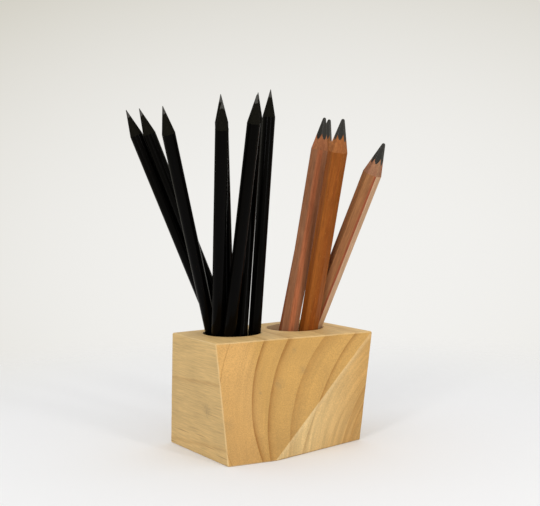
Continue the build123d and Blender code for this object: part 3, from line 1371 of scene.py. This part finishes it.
    def build(
        self,
        barrels: tuple[bpy.types.Material, bpy.types.Material],
        cut: bpy.types.Material,
        lead: bpy.types.Material,
        slots: tuple[str, str],
    ) -> list[bpy.types.Object]:
        """Makes the pencil's three pieces and dresses them.

        Args:
            barrels: The left and the right slat's finish.
            cut: The finish of the sharpened wood, the foot and the glued faces.
            lead: The lead's finish.
            slots: The material slots of the wood and of the lead. Not used.

        Returns:
            The pieces.
        """
        self.locate()
        pieces = []
        outside_rows = len(self.barrel_profile(CORNER_TURN)) - 1
        for part, start, barrel in ((Piece.LEFT, 210, barrels[0]), (Piece.RIGHT, 30, barrels[1])):
            columns = self.slat_columns(start, start + 180)
            mesh = sweep_mesh(f"{self.name}_{part.value}_half", columns, closed=False)
            mesh.materials.append(barrel)
            mesh.materials.append(cut)
            rows = mesh.attributes["row"].data
            for polygon in mesh.polygons:
                outside = 0 <= rows[polygon.index].value < outside_rows
                polygon.material_index = 0 if outside else 1
            whole_rows = 0 if self.sides else outside_rows + self.cone_rows + 2
            smooth_round(mesh, seams=(start, start + 180), limit=whole_rows)
            node = f"{self.name}_{part.value}"
            pieces.append(new_piece(mesh.name, mesh, self.place, self.name, [node]))
        mesh = sweep_mesh(f"{self.name}_graphite", self.lead_columns(), closed=True)
        mesh.materials.append(lead)
        smooth_round(mesh, seams=(), limit=0)
        node = f"{self.name}_{Piece.LEAD.value}"
        pieces.append(new_piece(mesh.name, mesh, self.place, self.name, [node]))
        return pieces


def smooth_round(mesh: bpy.types.Mesh, seams: tuple[float, ...], limit: int) -> None:
    """Shades a swept mesh smoothly, and across its glued edges too.

    Args:
        mesh: The mesh.
        seams: The bearings of the glued edges, in degrees.
        limit: The number of rows from the foot that are shaded as if the barrel were whole.
    """
    sharp, near = 22, 0.5
    mesh.shade_smooth()
    mesh.set_sharp_from_angle(angle=math.radians(sharp))
    if not limit:
        return
    rows = mesh.attributes["row"].data
    normals = [Vector(corner.vector) for corner in mesh.corner_normals]
    for polygon in mesh.polygons:
        if not 0 <= rows[polygon.index].value < limit:
            continue
        for corner in polygon.loop_indices:
            point = mesh.vertices[mesh.loops[corner].vertex_index].co
            bearing = math.degrees(math.atan2(point.y, point.x))
            if any(abs((bearing - seam + 180) % 360 - 180) < near for seam in seams):
                normal = normals[corner]
                flat = math.hypot(normal.x, normal.y)
                normals[corner] = towards(bearing) * flat + Vector((0, 0, normal.z))
    mesh.normals_split_custom_set(normals)


@dataclass
class BlackPencils:
    """The eight thin round pencils in the left bore."""

    count: int = 8
    diameter: float = 7.2
    cone: float = 15.0
    lead_diameter: float = 2.2
    tip_radius: float = 0.16
    lacquer: float = 0.06
    end_radius: float = 0.3

    def build(self) -> list[bpy.types.Object]:
        """Makes all eight pencils.

        Returns:
            Their pieces.
        """
        barrel = BlackLacquer().build()
        cut = DyedLimeWood().build()
        lead = SharpenedGraphite("thin_graphite", "#1A1815", "#34322D").build()
        pieces = []
        for number in range(1, self.count + 1):
            pencil = Pencil(
                name=f"black_pencil_{number}",
                number=number,
                sides=0,
                half=self.diameter / 2,
                cone=self.cone,
                lead_radius=self.lead_diameter / 2,
                tip_half=self.tip_radius,
                end_radius=self.end_radius,
                lacquer=self.lacquer,
            )
            pieces.extend(pencil.build((barrel, barrel), cut, lead, ("black_barrel", "thin_lead")))
            LOG.info("black pencil %d: %.1f mm long", number, pencil.length)
        return pieces


@dataclass(frozen=True)
class CedarStock:
    """The wood of one cedar pencil: its two slats and the same wood where it is cut."""

    left: IncenseCedar
    right: IncenseCedar
    cut: IncenseCedar


# Painted highlight: the pale salmon streak along a corner of the first cedar pencil stands in for light
# caught by that corner.
PAINTED_CORNER_HIGHLIGHT = {"stripe_bearing": -22.0, "stripe_width": 2.4, "stripe": "#B46A44"}
RED_STREAK = {"stripe_bearing": 30.0, "stripe_width": 1.4, "stripe": "#93482F"}
CEDAR_STOCKS = (
    CedarStock(
        IncenseCedar("grey_brown_cedar", "#96684A", "#955E3E", "#6C4630", seed=11.0, **PAINTED_CORNER_HIGHLIGHT),
        IncenseCedar("grey_brown_cedar_back", "#96684A", "#955E3E", "#6C4630", seed=17.0),
        IncenseCedar("grey_brown_cedar_cut", "#A26944", "#9E6040", "#7E5238", roughness=0.6, seed=13.0),
    ),
    CedarStock(
        IncenseCedar("red_brown_cedar", "#945630", "#8C4B28", "#70421F", seed=29.0),
        IncenseCedar("red_brown_cedar_back", "#945630", "#8C4B28", "#70421F", seed=31.0),
        IncenseCedar("red_brown_cedar_cut", "#A0663A", "#985C34", "#7E5030", roughness=0.6, seed=37.0),
    ),
    CedarStock(
        IncenseCedar("orange_brown_cedar", "#93531C", "#824214", "#B97A40", seed=43.0),
        IncenseCedar("orange_brown_cedar_back", "#93531C", "#824214", "#B97A40", seed=47.0),
        IncenseCedar("orange_brown_cedar_cut", "#A06436", "#92552B", "#7C4A28", roughness=0.6, seed=53.0),
    ),
    CedarStock(
        IncenseCedar("pale_brown_cedar", "#986841", "#8E5938", "#7E5539", seed=61.0, **RED_STREAK),
        IncenseCedar("sapwood_cedar", "#C8A583", "#B9906D", "#B08A6A", seed=67.0),
        IncenseCedar("pale_brown_cedar_cut", "#9A7052", "#905E46", "#8A5C42", roughness=0.6, seed=71.0),
    ),
)


@dataclass
class CedarPencils:
    """The four thick six-sided pencils in the right bore."""

    across_flats: float = 9.52
    cone: float = 18.5
    lead_diameter: float = 6.0
    tip_width: float = 1.5
    corner_radius: float = 0.45
    lobe: float = 0.12
    end_radius: float = 0.15
    shoulder_wave: float = 0.12
    lead_wave: Pair = (1.1, 0.9)

    def build(self) -> list[bpy.types.Object]:
        """Makes all four pencils.

        Returns:
            Their pieces.
        """
        lead = SharpenedGraphite("thick_graphite", "#0E0C0A", "#1E1C18").build()
        pieces = []
        for number, stock in enumerate(CEDAR_STOCKS, start=1):
            pencil = Pencil(
                name=f"cedar_pencil_{number}",
                number=number,
                sides=6,
                half=self.across_flats / 2,
                cone=self.cone,
                lead_radius=self.lead_diameter / 2,
                tip_half=self.tip_width / 2,
                end_radius=self.end_radius,
                corner_radius=self.corner_radius,
                lobe=self.lobe,
                shoulder_wave=self.shoulder_wave,
                lead_wave=self.lead_wave,
            )
            barrels = (stock.left.build(), stock.right.build())
            pieces.extend(pencil.build(barrels, stock.cut.build(), lead, ("cedar_barrel", "thick_lead")))
            LOG.info("cedar pencil %d: %.1f mm long", number, pencil.length)
        return pieces


@dataclass
class PaleTable(Nodes):
    """A pale painted table top, matt and without marks.

    To the eye that is an even off-white that takes soft shadows near the stand and runs into
    the backdrop further out. It is part of the room, not of the stand.

    Attributes:
        near: How far from the stand the table starts to fade.
        far: Where it has faded into the backdrop.
    """

    colour: str = "#F1F1F1"
    near: float = 160.0
    far: float = 430.0

    def build(self) -> bpy.types.Material:
        """Makes the table top.

        Returns:
            The material.
        """
        material = bpy.data.materials.new("pale_table")
        self.open(material)
        place = self.add("TexCoord", take="Object")
        out = self.add("VectorMath", (place,), "Value", operation="LENGTH")
        span = (out, self.near * MM, self.far * MM)
        far = self.add("MapRange", span, interpolation_type="SMOOTHSTEP")
        share = self.add("Math", (far, self.straight_rays()), operation="MULTIPLY")
        lit = self.add("BsdfDiffuse", {"Color": self.colour})
        beyond = self.add("BsdfTransparent")
        self.add("OutputMaterial", (self.add("MixShader", (share, lit, beyond)),))
        return material


@dataclass(frozen=True)
class Lamp:
    """A tall strip lamp, which a dark barrel shows as a soft line along it.

    Attributes:
        name: The lamp's name.
        place: Where its middle is.
        power: Its power in watts.
        size: How wide and how tall it is.
    """

    name: str
    place: Point
    power: float
    size: Pair = (60.0, 860.0)

    def build(self) -> None:
        """Makes the lamp, level and turned to the stand, and hides it from the camera."""
        data = bpy.data.lights.new(self.name, "AREA")
        data.shape = "RECTANGLE"
        data.size = self.size[0] * MM
        data.size_y = self.size[1] * MM
        data.energy = self.power
        lamp = link_object(self.name, data)
        lamp.visible_camera = False
        spot = Vector(self.place) * MM
        aim = Vector((0, 0, spot.z)) - spot
        lamp.matrix_world = Matrix.Translation(spot) @ aim.to_track_quat("-Z", "Y").to_matrix().to_4x4()


@dataclass
class Studio:
    """A pale table in soft light, and the camera.

    Attributes:
        camera_place: Where the camera is.
        heading: How far its view is turned from +Y towards +X, in degrees.
        pitch: How far it looks down, in degrees.
        roll: How far it is rolled, in degrees.
        focal_pixels: Its focal length in pixels of the picture.
        picture_width: How wide the picture is in pixels.
        brightest: The way in which the backdrop is brightest.
        backdrop_stretch: How fast it falls off from there along each axis.
        backdrop_falloff: How late it does, as a power.
    """

    camera_place: Point = (-339.31, -531.33, 161.65)
    heading: float = -32.647
    pitch: float = 4.698
    roll: float = -0.626
    focal_pixels: float = 1113.825
    picture_width: float = 540.0
    sensor: float = 36.0
    floor_radius: float = 2500.0
    floor_sides: int = 96
    backdrop: str = "#F2F1EE"
    backdrop_rim: str = "#CCC8BB"
    room: str = "#FFFFFF"
    room_light: float = 0.66
    ceiling_light: float = 0.30
    brightest: Point = (0.58, 0.81, -0.10)
    backdrop_stretch: Point = (1.86, 1.86, 3.15)
    backdrop_falloff: float = 2.6
    lamps: tuple[Lamp, ...] = (
        Lamp("right_lamp", (100, -700, 450), 1.4),
        Lamp("left_lamp", (-600, -400, 450), 1.7),
    )

    def build(self) -> None:
        """Makes the camera, the floor, the world and the lamps."""
        self.make_camera()
        self.make_floor()
        self.make_world()
        for lamp in self.lamps:
            lamp.build()
        bpy.context.scene.view_settings.view_transform = "Standard"

    def make_camera(self) -> None:
        """Makes the camera at the photograph's viewing angle."""
        level = towards(self.heading)
        down = math.radians(self.pitch)
        forward = Vector((-level.y, level.x, 0))
        ahead = forward * math.cos(down) - Vector((0, 0, math.sin(down)))
        upright = level.cross(ahead)
        roll = math.radians(self.roll)
        right = level * math.cos(roll) + upright * math.sin(roll)
        up = upright * math.cos(roll) - level * math.sin(roll)
        data = bpy.data.cameras.new("camera")
        data.sensor_width = self.sensor
        data.lens = self.focal_pixels * self.sensor / self.picture_width
        data.clip_start = 0.01
        camera = link_object("camera", data)
        camera.matrix_world = axes_at(right, up, -ahead, Vector(self.camera_place) * MM)
        bpy.context.scene.camera = camera

    def make_floor(self) -> None:
        """Makes the floor: lit near the stand, and fading into the backdrop further out."""
        model = bmesh.new()
        radius = self.floor_radius * MM
        bmesh.ops.create_circle(model, cap_ends=True, segments=self.floor_sides, radius=radius)
        mesh = bpy.data.meshes.new("floor")
        model.to_mesh(mesh)
        model.free()
        floor = link_object("floor", mesh)
        mesh.materials.append(PaleTable().build())

    def make_world(self) -> None:
        """Makes the room: a pale backdrop to look at and an even light from all round."""
        world = bpy.data.worlds.new("room")
        nodes = Nodes()
        nodes.open(world)
        way = nodes.add("TexCoord", take="Generated")
        off = nodes.add("VectorMath", (way, self.brightest), operation="SUBTRACT")
        stretched = nodes.add("VectorMath", (off, self.backdrop_stretch), operation="MULTIPLY")
        away = nodes.add("VectorMath", (stretched,), "Value", operation="LENGTH")
        rim = nodes.add("MapRange", (away,))
        rim = nodes.add("Math", (rim, self.backdrop_falloff), operation="POWER")
        colour = nodes.add("Mix", {0: rim, 6: self.backdrop, 7: self.backdrop_rim}, 2, data_type="RGBA")
        seen = nodes.add("Background", {"Color": colour, "Strength": 1.0})
        upward = nodes.add("SeparateXYZ", (way,), "Z")
        brightness = (self.room_light, self.room_light + self.ceiling_light)
        level = nodes.add("MapRange", (upward, 0.0, 1.0, *brightness))
        light = nodes.add("Background", {"Color": self.room, "Strength": level})
        mixed = nodes.add("MixShader", (nodes.straight_rays(), light, seen))
        nodes.add("OutputWorld", (mixed,))
        bpy.context.scene.world = world


def main() -> None:
    """Builds the stand and its studio, piece by piece."""
    logging.basicConfig(level=logging.INFO, format="%(message)s")
    Studio().build()
    LOG.info("studio made")
    block = WoodBlock().build()
    LOG.info("block made with %d faces", len(block.data.polygons))
    black = BlackPencils().build()
    LOG.info("black pencils made with %d pieces", len(black))
    cedar = CedarPencils().build()
    LOG.info("cedar pencils made with %d pieces", len(cedar))


if __name__ == "__main__":
    main()
